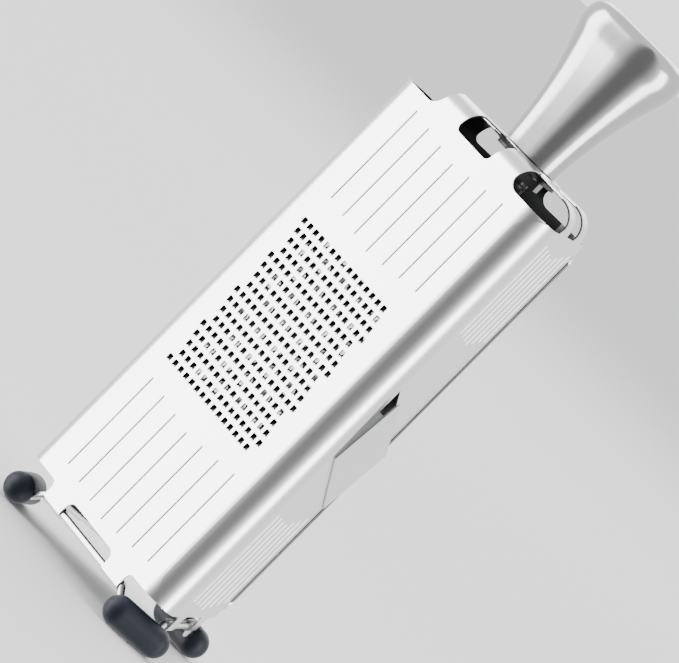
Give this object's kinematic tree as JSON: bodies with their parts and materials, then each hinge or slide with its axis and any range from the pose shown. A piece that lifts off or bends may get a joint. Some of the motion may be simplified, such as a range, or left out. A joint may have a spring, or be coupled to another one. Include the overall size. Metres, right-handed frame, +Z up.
{
  "type": "tower grater",
  "caption": "Three-sided steel tower grater on a wire ring with rubber feet, with a slicing blade and a flared handle that swivels.",
  "frame": {"origin": "on the axis of the swivel, at the level of the surface that the feet stand on", "axes": "+Z up along the swivel's axis, -Y out of the fine face"},
  "size_m": [0.1188, 0.1047, 0.3251],
  "materials": {
    "sheet_steel": "satin",
    "blade_steel": "satin, ground edge",
    "wire_steel": "drawn, semi-bright",
    "foot_rubber": "matt, moulded",
    "hub_steel": "turned",
    "washer_plastic": "matt",
    "handle_steel": "fine satin"
  },
  "bodies": {
    "tower": {"face_fine": "sheet_steel", "face_slicer": "sheet_steel", "face_coarse": "sheet_steel", "slicer_blade": "blade_steel", "wire_ring": "wire_steel", "foot_left": "foot_rubber", "foot_front": "foot_rubber", "foot_rear": "foot_rubber", "hub_sleeve": "hub_steel", "hub_plate": "hub_steel", "hub_lock_washer": "hub_steel", "hub_nut": "hub_steel", "swivel_washer": "washer_plastic"},
    "handle": {"thrust_washer": "washer_plastic", "spring_washer": "hub_steel", "pivot_bolt": "hub_steel", "handle_core": "hub_steel", "handle_shell": "handle_steel"}
  },
  "joints": [
    {"name": "handle_swivel", "type": "hinge", "parent": "tower", "child": "handle", "pos_m": [0, 0, 0.256], "axis": [0, 0, 1], "continuous": true}
  ]
}
